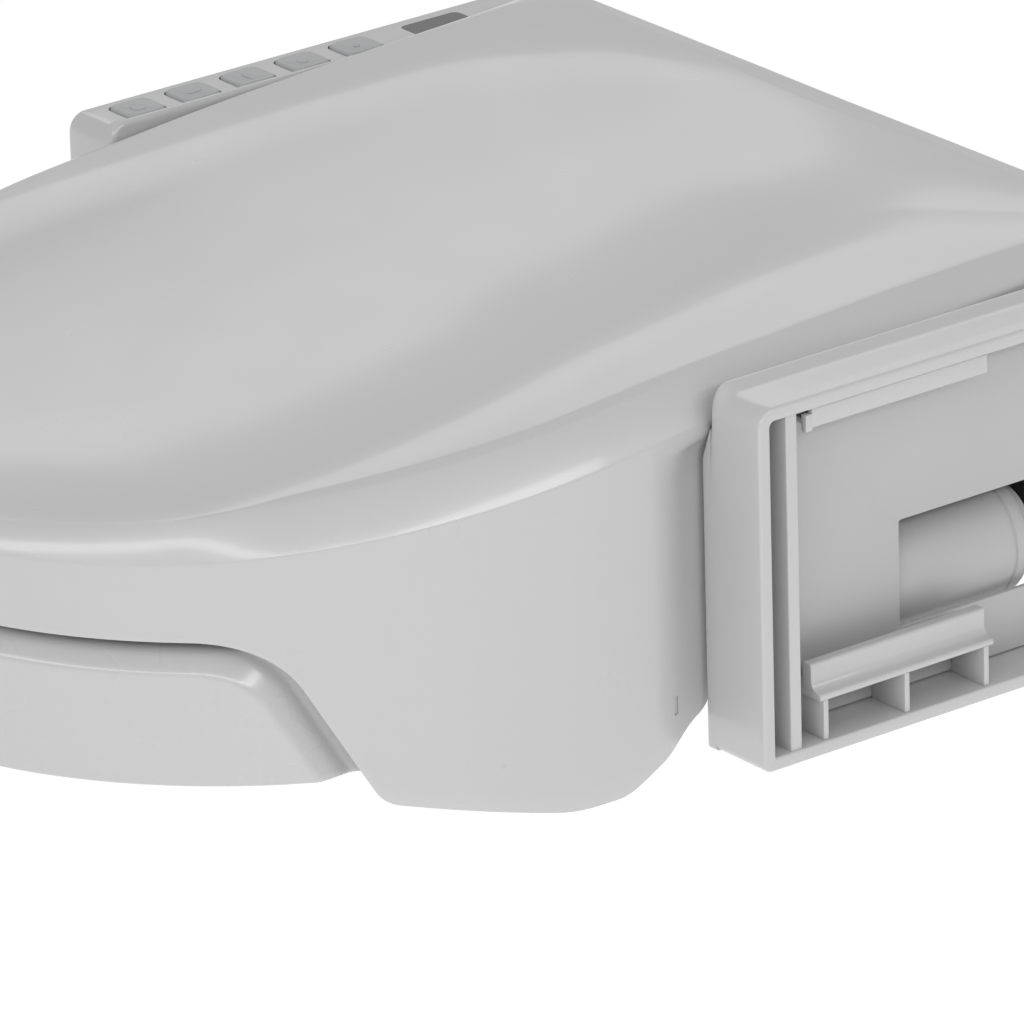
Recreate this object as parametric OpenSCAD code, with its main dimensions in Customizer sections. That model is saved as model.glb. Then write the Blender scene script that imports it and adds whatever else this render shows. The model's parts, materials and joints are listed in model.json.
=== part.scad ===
// Electric bidet seat: a wash unit with two side wings, a heated seat ring and a deep-skirted lid.
// Frame: origin midway between the two fixing slots, on the plane of the bowl's rim. +Z up,
// -Y towards the front of the bowl, +X towards the wing with the open equipment bay.

/* [Lid] */
// Half the lid's width at its straight sides
lid_half_w = 191; // [190:0.1:191.4]
// Distance in front of the slots at which the rounded nose begins
nose_start = 210; // [205:1:215]
// Length of the elliptical nose
nose_len = 215; // [210:1:220]
// Distance behind the slots at which the lid ends
lid_back = 64; // [62:0.5:65]
// Thickness of the moulded lid and seat walls
wall = 2.8; // [2.4:0.1:3]
// Height of the rolled edge at the rear of the lid
edge_rear_z = 147; // [145:0.5:149]
// How far the rolled edge falls from rear to nose
edge_fall = 50; // [48:0.5:52]
// Height of the skirt's lower edge around the nose
skirt_z = 68; // [67:0.5:70]
// Depth of the hollow in the top of the lid
dish_depth = 12; // [8:0.5:13]

/* [Seat] */
// Height of the seat ring's underside above the rim
seat_low_z = 8; // [7:0.5:9]
// Height of the ring at the nose
seat_front_z = 64; // [62:0.5:65]
// Height of the ring where it meets the wash unit
seat_rear_z = 104; // [102:0.5:105]
// Half the width of the opening in the ring
opening_half_w = 112; // [108:1:114]
// Length of the curved front of the opening
opening_len = 132; // [128:1:134]

/* [Hinge] */
// Distance of the hinge line behind the slots
hinge_y = 48; // [47.5:0.1:48.5]
// Height of the hinge line
hinge_z = 124; // [123.5:0.1:124.5]
// Radius of the hinge shafts
shaft_r = 5; // [4.9:0.05:5.1]
// Radial running clearance on the shafts
running_gap = 0.05; // [0.02:0.01:0.1]

/* [Wash unit] */
// Half the width over the side wings
unit_half_w = 223.5; // [222:0.5:225]
// Half the distance between the inner faces of the wings
wing_inner_x = 193.5; // [193:0.1:194]
// Distance in front of the slots at which the wings begin
wing_front = 165; // [164:0.5:165.5]
// Distance in front of the slots at which the housing begins
core_front = 85; // [84:0.5:86]
// Distance behind the slots at which the unit ends
unit_back = 70; // [69:0.5:72]
// Height of the top face of the wings
wing_top_z = 135.5; // [135:0.5:136]
// How far the wings hang below the rim
wing_drop = 13.5; // [12:0.5:14]
// Wall thickness of the housing
shell = 3; // [2.6:0.1:3.2]
// Width of the rim around the mouth of a wing
rim_w = 5.5; // [5:0.1:6]

/* [Fixing] */
// Distance between the centres of the two slots
slot_pitch = 140; // [135:1:145]
// Width of a slot
slot_w = 12; // [10:0.5:13]
// Length of a slot, end to end
slot_len = 40; // [36:1:44]

/* [Washing and drying] */
// Slope of the wash nozzles
nozzle_tilt = 28; // [26:1:30]
// Radius of a wash nozzle
nozzle_r = 8; // [7.5:0.1:8.1]
// Length of a wash nozzle
nozzle_len = 112; // [108:1:114]
// Radius of the blower's impeller
impeller_r = 27; // [24:0.5:28]
// Radius of the deodorizer canister
canister_r = 25; // [24:0.5:25]
// Outer radius of the water inlet
inlet_r = 10.5; // [10.3:0.1:10.5]

/* [Hidden] */
$fn = 48;

white = [0.86, 0.86, 0.85];
soft_grey = [0.72, 0.73, 0.73];
dark_grey = [0.32, 0.33, 0.34];
board_green = [0.12, 0.36, 0.22];
steel = [0.75, 0.76, 0.78];

far = 600;                        // longer than anything it cuts
nose_y = nose_start + nose_len;   // how far the nose reaches in front of the slots
ear_back = 170;                   // rear edge of the lid's ears, just clear of the wings
side_low_z = 117;                 // lower edge of the lid between the wings
tuck_x = [182.5, 185];            // an ear's rear end, turned in to pass beside the wing
cheek_x = 187.5;                  // inner edge of a wing's front face, under the lid's edge
tier_inset = 38;                  // how far the raised rim stands in from the rolled edge
rim_peak_z = edge_rear_z + 5;     // highest line of the raised rim
dish_r = 710;                     // radius of the hollow across the lid
dish_tilt = 5.5;                  // slope of the hollow towards the nose
liner_drop = 24;                  // liner's underside below the rolled edge
ear_recess = 9;                   // inset of the seat's flank where an ear covers it
ear_gap = 10;                     // gap left along an ear's curved front edge
seat_inset = 2;                   // seat's outline inside the lid's
seat_back = 92;                   // rear end of the ring
arm_x = [150, 166];               // each seat arm, from inner to outer side
arm_z = [97, 111];
post_x = [120, 147];              // each hinge post
lug_x = [170, 184];               // each lid lug
relief_z = 142;                   // top of the reliefs in the lid's rear skirt
deck_z = 91;                      // low deck of the top cover
hump_z = 108;                     // raised middle of the top cover
hump_half_w = 146;
core_half_w = 190;
floor_z = 6;                      // underside of the chassis
recess_half_w = 100;              // recess that slides over the mounting plate
recess_z = 22;
wing_r = 8;                       // rounding of a wing's top corners
tongue_at = [14, 19.5];           // the tongue, behind the wing's front face
panel_x = [199, 201.5];           // inner panel of the bay
bay_reach_x = 221;                // how far the bay's fittings stand out
fitting_y = [-137, -50];          // the bay's fittings, front to rear
window_y = [-79, 8];              // window in the inner panel
window_z = [17.5, 62];
canister_at = [174, 31];          // its centre line, in X and Z
nozzle_x = 14;                    // each nozzle's distance from the middle
tip_at = [-84, 23];               // the nozzle tips, in Y and Z
blower_at = [-137, -46];          // the blower's axle, in X and Y
blower_z = [12, 50];
outlet_x = [-100, -66];           // the dryer's outlet
outlet_z = [14, 40];
spout_y = [-79, -50];             // the volute's spout, front to rear
button_y = [-140, -112, -84, -56, -28];
button_x = -209;
spigot_at = [-150, 45];           // water inlet, in X and Z
inlet_neck_r = 9;                 // the spigot's neck, where it passes through the wall
gland_at = [150, 45];
release_at = [30, 20];            // release button, in Y and Z

// ---- helpers -------------------------------------------------------------------------------

// Points of an arc about c from angle a0 to a1
function arc(c, r, a0, a1, n = 10) =
    [for (i = [0:n]) c + r * [cos(a0 + (a1 - a0) * i / n), sin(a0 + (a1 - a0) * i / n)]];

// Rectangle w by l with rounded corners
function round_rect(w, l, r) = concat(
    arc([w / 2 - r, l / 2 - r], r, 0, 90, 5), arc([r - w / 2, l / 2 - r], r, 90, 180, 5),
    arc([r - w / 2, r - l / 2], r, 180, 270, 5), arc([w / 2 - r, r - l / 2], r, 270, 360, 5));

module box(low, high) translate(low) cube(high - low);

// Extrudes a (y, z) outline along X from x0 to x1
module along_x(x0 = -far / 2, x1 = far / 2)
    translate([x0, 0, 0]) rotate([90, 0, 90]) linear_extrude(x1 - x0) children();

module both_sides() {
    children();
    mirror([1, 0, 0]) children();
}

// Cylinder along X from x0 to x1 about (y, z)
module rod_x(x0, x1, y, z, r) translate([x0, y, z]) rotate([0, 90, 0]) cylinder(r = r, h = x1 - x0);

// Cylinder along Y from y0 to y1 about (x, z)
module rod_y(y0, y1, x, z, r) translate([x, y0, z]) rotate([-90, 0, 0]) cylinder(r = r, h = y1 - y0);

// ---- lid and seat outlines -------------------------------------------------------------------

// Plan of the lid, brought in by d all round
function plan(d) = let (w = lid_half_w - d, l = nose_len - d, b = lid_back - d, r = 12) concat(
    [for (i = [0:48]) [w * cos(180 + i * 3.75), -nose_start + l * sin(180 + i * 3.75)]],
    arc([w - r, b - r], r, 0, 90, 5), arc([r - w, b - r], r, 90, 180, 5));

// Height of the rolled edge and of the raised rim at y
function edge_z(y) = edge_rear_z - edge_fall * pow((66 - y) / 491, 2);
function rim_z(y) = rim_peak_z - 37 * pow(min(y + 6, 0) / 358, 2);

// Front edge of an ear, swept down from the skirt; g moves it towards the nose
function ear_front(g) = concat(
    arc([-367, skirt_z - 38], 38 - g, 90, 25), arc([-298, 10], 14 + g, 205, 250));

// Side view of the lid, its top lowered by d
function lid_side(d) = concat(
    [[-nose_y - 5, skirt_z]], ear_front(0), arc([-222, 58], 79, 257, 270),
    arc([-212, 5], 26, 270, 298), [[-ear_back, -2.1]],
    [[-ear_back, side_low_z], [58, side_low_z], [58, 126], [lid_back + 2, 126]],
    [for (i = [0:20]) let (y = lid_back + 2 - i * (lid_back + 7 + nose_y) / 20) [y, edge_z(y) - d]]);

// Side view of everything under the lid's skin
function under_lid(d) = concat(
    [[-nose_y - 5, -far], [lid_back + 2, -far]],
    [for (i = [0:20]) let (y = lid_back + 2 - i * (lid_back + 7 + nose_y) / 20) [y, edge_z(y) - d]]);

// Side view of the raised rim
function tier_side(d) = concat(
    [[-nose_y, 60], [lid_back, 60]],
    [for (i = [0:20]) let (y = lid_back - i * (lid_back + nose_y) / 20) [y, rim_z(y) - d]]);

// The hollow of the lid's top; grown by d
module dish(d) translate([0, -170, 143 - dish_depth]) rotate([dish_tilt, 0, 0])
    translate([0, -far, dish_r]) rotate([-90, 0, 0]) cylinder(r = dish_r + d, h = 2 * far, $fn = 96);

module lid_solid(d, side) difference() {
    union() {
        intersection() {
            translate([0, 0, -far / 2]) linear_extrude(far) polygon(plan(d));
            along_x() polygon(side);
        }
        intersection() {
            translate([0, 0, d]) linear_extrude(far) polygon(plan(tier_inset + d));
            along_x() polygon(tier_side(d));
        }
    }
    dish(d);
}

// Opening in the ring, grown by d
function opening(d) = concat(
    [for (i = [0:24]) [(opening_half_w + d) * cos(180 + i * 7.5),
                       -222 + (opening_len + d) * sin(180 + i * 7.5)]],
    [[opening_half_w + d, 0], [-opening_half_w - d, 0]]);

// Height of the ring's top: level at the nose, then rising to the unit
function seat_z(y) = let (t = min(max((y + 330) / 200, 0), 1))
    seat_front_z + (seat_rear_z - seat_front_z) * t * t * (3 - 2 * t);

function seat_side(d, low) = concat(
    [[-nose_y, low], [-seat_back - d, low]],
    [for (i = [0:16]) let (y = -seat_back - d - i * (245 - d) / 16) [y, seat_z(y) - d]],
    [[-nose_y, seat_front_z - d]]);

// Step in the seat's flank where an ear covers it
module ear_relief(d) intersection() {
    translate([0, 0, -far / 2]) linear_extrude(far) difference() {
        square([far, 2 * far], center = true);
        polygon(plan(ear_recess + d));
    }
    along_x() polygon(concat([[-367, 2 * skirt_z]], ear_front(ear_gap + d), [[-300, -20], [0, -20],
                             [0, 2 * skirt_z]]));
}

module ring_solid(d, low) difference() {
    intersection() {
        translate([0, 0, -20]) linear_extrude(200) difference() {
            polygon(plan(seat_inset + d));
            polygon(opening(d));
        }
        along_x() polygon(seat_side(d, low));
    }
    ear_relief(d);
}

// ---- seat ------------------------------------------------------------------------------------

module seat_top_shell() color(white) difference() {
    ring_solid(0, seat_low_z);
    ring_solid(wall, -10);
    both_sides() box([arm_x[0] - 0.1, -seat_back - 2 * wall, 89.9],
                     [arm_x[1] + 0.1, 0, arm_z[0] + 3.1]);
}

module seat_bottom_shell() color(white) intersection() {
    ring_solid(wall + 0.2, seat_low_z);
    box([-far, -far, seat_low_z], [far, 0, seat_low_z + 2.5]);
}

// Heating element under the ring's sitting surface
module seat_heater_film() color("darkorange") difference() {
    intersection() {
        translate([0, 0, 20]) linear_extrude(100) difference() {
            polygon(plan(24));
            polygon(opening(14));
        }
        along_x() polygon(seat_side(wall, 40));
    }
    along_x() polygon(seat_side(wall + 0.6, 20));
    box([-far, -140, 0], [far, 0, 200]);
}

// Arms that carry the ring on the hinge shafts, each with a tongue held inside the ring
module seat_hinge_arms() color(white) both_sides() difference() {
    union() {
        box([arm_x[0], -seat_back, arm_z[0]], [arm_x[1], hinge_y, arm_z[1]]);
        box([arm_x[0], -seat_back - 26, 90], [arm_x[1], -seat_back, arm_z[0] + 3]);
        box([arm_x[0], -seat_back, 94], [arm_x[1], -seat_back + 4, arm_z[0]]);
        rod_x(arm_x[0], arm_x[1], hinge_y, hinge_z, 12);
        box([arm_x[0], hinge_y - 12, arm_z[0]], [arm_x[1], hinge_y, hinge_z]);
    }
    rod_x(arm_x[0] - 1, arm_x[1] + 1, hinge_y, hinge_z, shaft_r + running_gap);
    box([arm_x[0] - 1, hinge_y, 90], [arm_x[1] + 1, hinge_y + 12, hinge_z - 12]);
}

module seat_bumpers() color(soft_grey) both_sides() for (at = [[60, -378], [148, -200]])
    translate([at[0], at[1], 0]) cylinder(r = 9, h = seat_low_z);

// Capacitive strip that senses a sitter, on the floor of the ring
module occupancy_sensor() color(board_green)
    translate([-150, -200, seat_low_z + 2.5]) linear_extrude(1.6) polygon(round_rect(22, 90, 4));

// ---- lid -------------------------------------------------------------------------------------

module lid_shell() color(white) {
    difference() {
        lid_solid(0, lid_side(0));
        lid_solid(wall, under_lid(wall));
        // relief that the posts stand in, and that the seat's arms pass through as the lid opens
        both_sides() box([post_x[0] - 4, 50, 0], [arm_x[1] + 1.5, far, relief_z]);
    }
    both_sides() {
        box([tuck_x[0], -ear_back - 4, 8], [189, -ear_back - 1.5, 108]);
        along_x(tuck_x[0], tuck_x[1]) polygon([[-ear_back - 4, 4], [-ear_back + 4, 4],
            [-ear_back + 10, 12], [-ear_back + 10, 108], [-ear_back - 4, 108]]);
    }
}

// Panel that closes the lid's underside
module lid_liner() color(white) difference() {
    intersection() {
        translate([0, 0, 20]) linear_extrude(200) polygon(plan(wall + 0.3));
        along_x() polygon(under_lid(liner_drop - 2.2));
        box([-far, -far, 0], [far, 18, 300]);
    }
    along_x() polygon(under_lid(liner_drop));
}

module lid_hinge_lugs() color(white) both_sides() difference() {
    union() {
        rod_x(lug_x[0], lug_x[1], hinge_y, hinge_z, 11);
        box([lug_x[0], hinge_y - 11, hinge_z], [lug_x[1], hinge_y + 11, edge_rear_z - wall - 1]);
    }
    rod_x(lug_x[0] - 1, lug_x[1] + 1, hinge_y, hinge_z, shaft_r + running_gap);
}

module lid_bumpers() color(soft_grey) both_sides()
    translate([60, -375, seat_front_z + 0.3])
        cylinder(r = 6, h = edge_z(-381) - liner_drop - seat_front_z - 0.4);

// ---- hinge -----------------------------------------------------------------------------------

module hinge_brackets() color(white) both_sides() difference() {
    union() {
        box([post_x[0], hinge_y - 10, deck_z], [post_x[1], hinge_y + 10, hinge_z]);
        rod_x(post_x[0], post_x[1], hinge_y, hinge_z, 10);
    }
    rod_x(post_x[0] - 1, post_x[1] + 1, hinge_y, hinge_z, shaft_r);
}

module hinge_shafts() color(steel) both_sides()
    rod_x(post_x[0], lug_x[1] + 1.5, hinge_y, hinge_z, shaft_r);

// Slow-close damper on the inner side of a post
module damper(x) {
    rod_x(x, post_x[0], hinge_y, hinge_z, 8);
    rod_x(x - 4, x, hinge_y, hinge_z, 6);
}

module seat_damper() color(dark_grey) damper(64);

module lid_damper() color(dark_grey) mirror([1, 0, 0]) damper(64);

// ---- wash unit -------------------------------------------------------------------------------

module base_chassis() color(white) difference() {
    union() {
        box([-core_half_w, -core_front, floor_z], [core_half_w, unit_back, deck_z - 2.5]);
        both_sides() for (y = [-70, 55]) box([core_half_w, y, 12], [wing_inner_x, y + 8, 84]);
    }
    difference() {
        box([shell - core_half_w, shell - core_front, floor_z + shell],
            [core_half_w - shell, unit_back - shell, far]);
        box([-recess_half_w, -40, 0], [recess_half_w, unit_back, recess_z + shell]);
    }
    box([shell - recess_half_w, shell - 40, 0], [recess_half_w - shell, far, recess_z]);
    box([-36, -core_front - 1, 9], [36, 1.2 - core_front, 46]);
    box([-32, -core_front - 1, 11], [32, shell + 1 - core_front, 42]);
    box([outlet_x[0], -core_front - 1, outlet_z[0]],
        [outlet_x[1], shell + 1 - core_front, outlet_z[1]]);
    box([148, -81, 0], [wing_inner_x + 1, 10, window_z[1]]);
    rod_y(0, far, spigot_at[0], spigot_at[1], inlet_neck_r + 0.2);
    rod_y(0, far, gland_at[0], gland_at[1], 8);
}

module top_cover() color(white) difference() {
    union() {
        box([-186, -core_front, deck_z - 2.5], [186, unit_back, deck_z]);
        box([-hump_half_w, -core_front, deck_z], [hump_half_w, 14, hump_z]);
    }
    box([shell - hump_half_w, shell - core_front, 0],
        [hump_half_w - shell, 14 - shell, hump_z - shell]);
}

// Bezel around the nozzles' mouth, with a divider between them
module front_panel() color(soft_grey) difference() {
    box([-36, -core_front, 9], [36, 1.2 - core_front, 46]);
    for (x = [-nozzle_x, nozzle_x])
        box([x - 11, -core_front - 1, 11], [x + 11, 2 - core_front, 40]);
}

// Side outline of a wing, in Y and Z, brought in by d
function wing_side(d) = concat(
    arc([wing_r - wing_front, wing_top_z - wing_r], wing_r - d, 90, 180, 6),
    [[d - wing_front, d - wing_drop], [unit_back - d, d - wing_drop]],
    arc([unit_back - wing_r, wing_top_z - wing_r], wing_r - d, 0, 90, 6));

// A wing on the +X side, open outwards, with a cheek that carries its front face in to the ear
module wing() {
    difference() {
        along_x(wing_inner_x, unit_half_w) polygon(wing_side(0));
        along_x(wing_inner_x + 2.5, unit_half_w + 1) polygon(wing_side(rim_w));
    }
    translate([0, 3 - wing_front, 0]) rotate([90, 0, 0]) linear_extrude(3)
        polygon([[cheek_x, 2 - wing_drop], [cheek_x + 2, -wing_drop], [wing_inner_x + 1, -wing_drop],
                 [wing_inner_x + 1, 118], [cheek_x, 104]]);
}

// The open wing, with a tongue standing along the front of its mouth
module bay_wing_shell() color(white) {
    difference() {
        wing();
        box([0, -81, 4], [wing_inner_x + 3, 10, window_z[1]]);
    }
    box([wing_inner_x + 2, tongue_at[0] - wing_front, rim_w - wing_drop - 0.5],
        [unit_half_w - 1, tongue_at[1] - wing_front, wing_top_z - rim_w + 0.5]);
}

module bay_inner_panel() color(white) difference() {
    along_x(panel_x[0], panel_x[1]) polygon([
        [tongue_at[1] - wing_front, 6 - wing_drop], [unit_back - 7, 6 - wing_drop],
        [unit_back - 7, wing_top_z - 14], [tongue_at[1] - wing_front, wing_top_z - 14]]);
    box([0, window_y[0], window_z[0]], [far, window_y[1], window_z[1]]);
}

// Rail under the bay's roof that the side cover clips to
module bay_top_clip_rail() color(white) {
    box([panel_x[1], fitting_y[0], 121], [bay_reach_x, fitting_y[1], 123.5]);
    box([bay_reach_x - 2.5, fitting_y[0], 121], [bay_reach_x, fitting_y[1], 129.8]);
    box([bay_reach_x - 3.2, fitting_y[0] - 3, 119.5], [bay_reach_x, fitting_y[0] + 2, 127]);
}

// Shelf along the foot of the bay: an upright wall flared out at its toe, standing on ribs
module bay_bottom_shelf() color(white) {
    translate([0, fitting_y[1] + 1, 0]) rotate([90, 0, 0]) linear_extrude(fitting_y[1] - fitting_y[0])
        polygon([[panel_x[1], 8], [bay_reach_x + 1, 8], [bay_reach_x + 1, 10.6],
                 [bay_reach_x - 2.4, 11.6], [bay_reach_x - 4.5, 14], [bay_reach_x - 4.5, 22],
                 [bay_reach_x - 10, 22], [bay_reach_x - 10, 11], [panel_x[1], 11]]);
    for (y = [fitting_y[0] + 2.5, -94, fitting_y[1] - 4])
        box([panel_x[1], y, rim_w - wing_drop], [bay_reach_x + 1, y + 2.5, 8.1]);
}

module deodorizer_canister() color(soft_grey) {
    rod_y(-79, -10, canister_at[0], canister_at[1], canister_r);
    rod_y(-10, -4, canister_at[0], canister_at[1], canister_r - 5);
}

module control_wing_shell() color(white) difference() {
    mirror([1, 0, 0]) wing();
    for (y = button_y) translate([button_x, y, 0]) linear_extrude(far) polygon(round_rect(18, 20, 4));
    translate([button_x, 15, 0]) linear_extrude(far) polygon(round_rect(16, 30, 3));
}

module control_wing_cover() color(white) difference() {
    along_x(-unit_half_w, 2.5 - unit_half_w) polygon(wing_side(rim_w + 0.2));
    rod_x(-far, 0, release_at[0], release_at[1], 9);
}

module control_pcb() color(board_green)
    box([-217, -146, 112], [-198, 34, 113.6]);

module status_window() color([0.1, 0.1, 0.12])
    translate([button_x, 15, wing_top_z - 4]) linear_extrude(4) polygon(round_rect(15.6, 29.6, 2.8));

// Rounded key with a stem that reaches its switch
module key(y) color(soft_grey) translate([button_x, y, 0]) {
    translate([0, 0, wing_top_z - 4]) linear_extrude(5.2) polygon(round_rect(17.2, 19.2, 3.6));
    translate([0, 0, 116]) cylinder(r = 3, h = wing_top_z - 120);
}

module stop_button() key(button_y[0]);

module rear_wash_button() key(button_y[1]);

module front_wash_button() key(button_y[2]);

module dry_button() key(button_y[3]);

module eco_button() key(button_y[4]);

// Button that frees the unit from its mounting plate
module release_button() color(soft_grey) {
    rod_x(-unit_half_w - 2, -unit_half_w + 8, release_at[0], release_at[1], 8.7);
    rod_x(-unit_half_w + 8, -200, release_at[0], release_at[1], 4);
}

module main_pcb() color(board_green) {
    box([-20, 20, 30], [140, 62, 31.6]);
    for (x = [0, 34, 70, 104]) box([x, 30, 31.6], [x + 18, 50, 40]);
}

module power_supply() color(dark_grey) box([-80, 14, 27], [-32, 62, 62]);

module water_tank() color(soft_grey) difference() {
    box([60, -76, 28], [140, 12, 84]);
    box([63, -73, 31], [137, 9, 81]);
    translate([100, -30, 80]) cylinder(r = 5.2, h = 10);
    rod_y(0, 20, 76, 40, 4);
}

module tank_heater() color(steel) translate([100, -30, 0]) {
    translate([0, 0, 38]) cylinder(r = 5, h = 46);
    translate([0, 0, 84]) cylinder(r = 12, h = 3);
}

module inlet_valve() color(dark_grey) difference() {
    union() {
        box([-170, 14, 30], [-130, 56, 60]);
        translate([spigot_at[0], 30, 60]) cylinder(r = 11, h = 20);
    }
    rod_y(30, far, spigot_at[0], spigot_at[1], 7);
}

// Threaded water inlet, shown at its outer diameter
module inlet_spigot() color(steel) difference() {
    union() {
        rod_y(56, unit_back + 1, spigot_at[0], spigot_at[1], inlet_neck_r);
        rod_y(unit_back, unit_back + 16, spigot_at[0], spigot_at[1], inlet_r);
        rod_y(58, unit_back - shell, spigot_at[0], spigot_at[1], 15);
    }
    rod_y(0, far, spigot_at[0], spigot_at[1], 7);
}

module inlet_strainer() color("ivory") difference() {
    rod_y(unit_back - 4, unit_back + 14, spigot_at[0], spigot_at[1], 6.9);
    rod_y(unit_back - 2, unit_back + 15, spigot_at[0], spigot_at[1], 5.6);
    for (y = [2, 6, 10]) translate([spigot_at[0], unit_back + y, 0]) cylinder(r = 1.2, h = 100);
}

module flow_diverter() color(soft_grey) translate([46, -64, 0]) {
    translate([0, 0, 10]) cylinder(r = 9, h = 34);
    translate([0, 0, 44]) cylinder(r = 7, h = 14);
}

// Frame of the nozzles: Y runs back and up from their tips
module nozzle_frame() translate([0, tip_at[0], tip_at[1]]) rotate([nozzle_tilt, 0, 0]) children();

// Spray nozzle with its jet holes on top of the tip
module wash_nozzle(x, jets) color(white) nozzle_frame() translate([x, 0, 0]) difference() {
    union() {
        rotate([-90, 0, 0]) cylinder(r = nozzle_r, h = nozzle_len);
        translate([0, nozzle_len, 0]) rotate([-90, 0, 0]) cylinder(r = nozzle_r - 3, h = 5);
    }
    for (i = [1:jets]) translate([0, 4 + 3 * i, nozzle_r - 2]) cylinder(r = 0.8, h = 4);
    translate([0, nozzle_len - 60, 0]) rotate([-90, 0, 0]) cylinder(r = 2.5, h = 100);
}

module rear_wash_nozzle() wash_nozzle(-nozzle_x, 1);

module front_wash_nozzle() wash_nozzle(nozzle_x, 2);

module nozzle_guide() color(soft_grey) nozzle_frame() difference() {
    box([-27, 16, -13], [27, 104, -2]);
    for (x = [-nozzle_x, nozzle_x])
        translate([x, 0, 0]) rotate([-90, 0, 0]) cylinder(r = nozzle_r + 0.4, h = 120);
}

module nozzle_motors() color(dark_grey) nozzle_frame() both_sides() {
    rod_x(28, 44, 76, -6, 11);
    rod_x(27, 28, 76, -6, 3);
}

// Volute with a spout that leads to the dryer's outlet
module blower_housing() color(soft_grey) difference() {
    union() {
        translate([blower_at[0], blower_at[1], blower_z[0]])
            cylinder(r = impeller_r + 6, h = blower_z[1] - blower_z[0]);
        box([blower_at[0], spout_y[0], blower_z[0]], [outlet_x[1], spout_y[1], blower_z[1] - 8]);
        box([outlet_x[0], shell - core_front, blower_z[0]],
            [outlet_x[1], spout_y[1], blower_z[1] - 8]);
    }
    translate([blower_at[0], blower_at[1], blower_z[0] + 2.5])
        cylinder(r = impeller_r + 3.5, h = blower_z[1] - blower_z[0] - 5);
    translate([blower_at[0], blower_at[1], 0]) cylinder(r = 14, h = 100);
    box([blower_at[0], spout_y[0] + 2.5, blower_z[0] + 2.5],
        [outlet_x[1] - 2.5, spout_y[1] - 2.5, blower_z[1] - 10.5]);
    box([outlet_x[0] + 2.5, -far, blower_z[0] + 2.5],
        [outlet_x[1] - 2.5, spout_y[1] - 2.5, blower_z[1] - 10.5]);
}

// Motor under the impeller, its shaft running up into the hub
module blower_motor() color(dark_grey) translate([blower_at[0], blower_at[1], 0]) {
    translate([0, 0, 9]) cylinder(r = 13, h = 11);
    translate([0, 0, 20]) cylinder(r = 2, h = 18);
}

module blower_impeller() color(dark_grey) translate([blower_at[0], blower_at[1], 0]) difference() {
    union() {
        translate([0, 0, 21]) cylinder(r = impeller_r, h = 2);
        translate([0, 0, 21]) cylinder(r = 6, h = 16);
        for (i = [0:15]) rotate(i * 22.5) translate([15, 3, 22]) rotate(20) cube([11, 1.4, 21]);
    }
    cylinder(r = 2 + running_gap, h = 100);
}

module dryer_flap() color(white) {
    box([outlet_x[0] + 0.6, -core_front, outlet_z[0] + 0.6],
        [outlet_x[1] - 0.6, 1.6 - core_front, outlet_z[1] - 2.4]);
    rod_x(outlet_x[0] + 0.6, outlet_x[1] - 0.6, 1.4 - core_front, outlet_z[1] - 2, 1.4);
}

// ---- fixing ----------------------------------------------------------------------------------

module mounting_plate() color(steel) difference() {
    translate([0, 0, 1.5]) linear_extrude(5) polygon(round_rect(190, 66, 8));
    both_sides() translate([slot_pitch / 2, 0, 0]) {
        for (x = [-1, 1]) translate([x * (slot_len - slot_w) / 2, 0, 0]) cylinder(d = slot_w, h = 20);
        translate([(slot_w - slot_len) / 2, -slot_w / 2, 0]) cube([slot_len - slot_w, slot_w, 20]);
    }
}

module plate_pads() color(dark_grey) both_sides() for (y = [-24, 24])
    translate([slot_pitch / 2, y, 0]) linear_extrude(1.5) polygon(round_rect(44, 12, 3));

module cord_gland() color(dark_grey) difference() {
    union() {
        rod_y(unit_back - 8, unit_back, gland_at[0], gland_at[1], 8);
        rod_y(unit_back, unit_back + 3, gland_at[0], gland_at[1], 11);
        rod_y(unit_back + 3, unit_back + 14, gland_at[0], gland_at[1], 7);
    }
    rod_y(0, far, gland_at[0], gland_at[1], 4);
}

// Pan-head screws of the top cover and of the bay's inner panel
module case_screws() color(steel) both_sides() {
    for (x = [30, 90]) translate([x, 62, deck_z]) cylinder(r = 3.2, h = 2);
    translate([170, 62, deck_z]) cylinder(r = 3.2, h = 2);
}

base_chassis();
top_cover();
front_panel();
hinge_brackets();
hinge_shafts();
seat_damper();
lid_damper();
bay_wing_shell();
bay_inner_panel();
bay_top_clip_rail();
bay_bottom_shelf();
deodorizer_canister();
control_wing_shell();
control_wing_cover();
control_pcb();
status_window();
main_pcb();
power_supply();
water_tank();
tank_heater();
inlet_valve();
inlet_spigot();
inlet_strainer();
flow_diverter();
nozzle_guide();
nozzle_motors();
blower_housing();
blower_motor();
mounting_plate();
plate_pads();
cord_gland();
case_screws();
seat_top_shell();
seat_bottom_shell();
seat_heater_film();
seat_hinge_arms();
seat_bumpers();
occupancy_sensor();
lid_shell();
lid_liner();
lid_hinge_lugs();
lid_bumpers();
rear_wash_nozzle();
front_wash_nozzle();
blower_impeller();
dryer_flap();
stop_button();
rear_wash_button();
front_wash_button();
dry_button();
eco_button();
release_button();
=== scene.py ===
"""Electric bidet seat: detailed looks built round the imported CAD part.

Every length below is in millimetres, in the CAD frame, and mesh_piece() turns it into metres.
-Y is the front, +X the side with the open equipment bay, and z = 0 the plane of the bowl's rim.
"""

import json
import math

import bmesh
import bpy
import numpy as np
from mathutils import Matrix, Vector


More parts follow.
